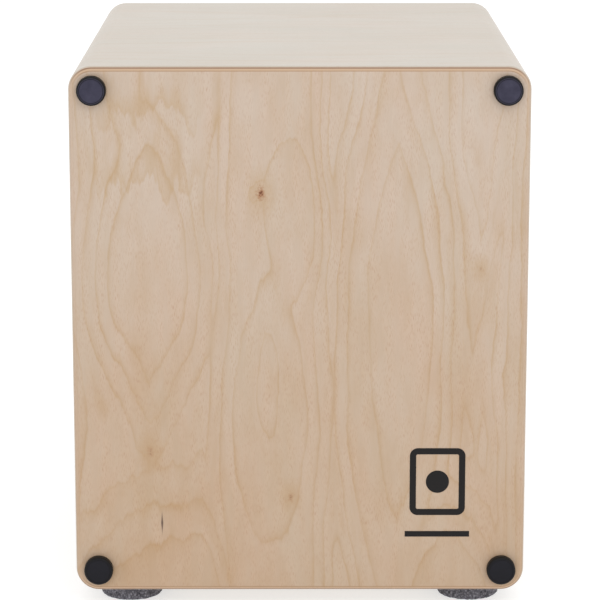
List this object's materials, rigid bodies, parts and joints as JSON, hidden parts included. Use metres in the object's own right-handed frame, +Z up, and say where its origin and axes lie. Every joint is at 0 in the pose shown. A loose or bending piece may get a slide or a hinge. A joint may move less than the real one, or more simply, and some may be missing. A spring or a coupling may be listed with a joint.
{
  "type": "cajon",
  "caption": "Plywood box drum with a veneered front plate, a round sound hole at the rear, rubber feet under the base and on the front, and a snare unit on a hinged bar.",
  "frame": {"origin": "middle of the footprint, on the floor that the base pads stand on", "axes": "+Z up, -Y out of the front plate, +X to the right of someone looking at the front plate"},
  "size_m": [0.39, 0.507, 0.475],
  "materials": {
    "shell_ply": "clear satin lacquer on birch plywood",
    "front_veneer": "clear satin lacquer on birch veneer",
    "rear_ply": "clear satin lacquer on birch plywood",
    "frame_wood": "planed spruce, unfinished",
    "pad_rubber": "matt granulated rubber",
    "zinc_steel": "zinc plated",
    "black_rubber": "satin black",
    "black_ink": "matt screen-printed ink",
    "block_wood": "planed beech, unfinished",
    "nylon": "satin",
    "bright_steel": "bright drawn steel",
    "beech": "sanded beech, oiled",
    "snare_steel": "bright coiled wire",
    "grip_wood": "stained and oiled hardwood"
  },
  "bodies": {
    "box": {"top_board": "shell_ply", "bottom_board": "shell_ply", "left_board": "shell_ply", "right_board": "shell_ply", "front_plate": "front_veneer", "rear_plate": "rear_ply", "front_batten_top": "frame_wood", "front_batten_bottom": "frame_wood", "front_batten_left": "frame_wood", "front_batten_right": "frame_wood", "rear_batten_top": "frame_wood", "rear_batten_bottom": "frame_wood", "rear_batten_left": "frame_wood", "rear_batten_right": "frame_wood", "corner_block_top_left": "frame_wood", "corner_block_top_right": "frame_wood", "corner_block_bottom_left": "frame_wood", "corner_block_bottom_right": "frame_wood", "seat_brace": "frame_wood", "base_pad_front_left": "pad_rubber", "base_pad_front_right": "pad_rubber", "base_pad_rear_left": "pad_rubber", "base_pad_rear_right": "pad_rubber", "pad_washers": "zinc_steel", "pad_screws": "zinc_steel", "front_button_top_left": "black_rubber", "front_button_top_right": "black_rubber", "front_button_bottom_left": "black_rubber", "front_button_bottom_right": "black_rubber", "printed_mark": "black_ink", "bearing_block_left": "block_wood", "bearing_block_right": "block_wood", "bearing_bush_left": "nylon", "bearing_bush_right": "nylon", "block_screws": "zinc_steel", "stop_peg_on": "bright_steel", "stop_peg_off": "bright_steel"},
    "snare_unit": {"snare_bar": "beech", "stop_pin": "bright_steel", "snare_clip_left": "bright_steel", "snare_clip_right": "bright_steel", "clip_screws": "zinc_steel", "snare_wires_left": "snare_steel", "snare_wires_right": "snare_steel", "throw_lever": "bright_steel", "lever_nut": "zinc_steel", "lever_grip": "grip_wood"}
  },
  "joints": [
    {"name": "snare_throw", "type": "hinge", "parent": "box", "child": "snare_unit", "pos_m": [0, -0.2055, 0.33], "axis": [1, 0, 0], "range_deg": [-22, 0]}
  ]
}
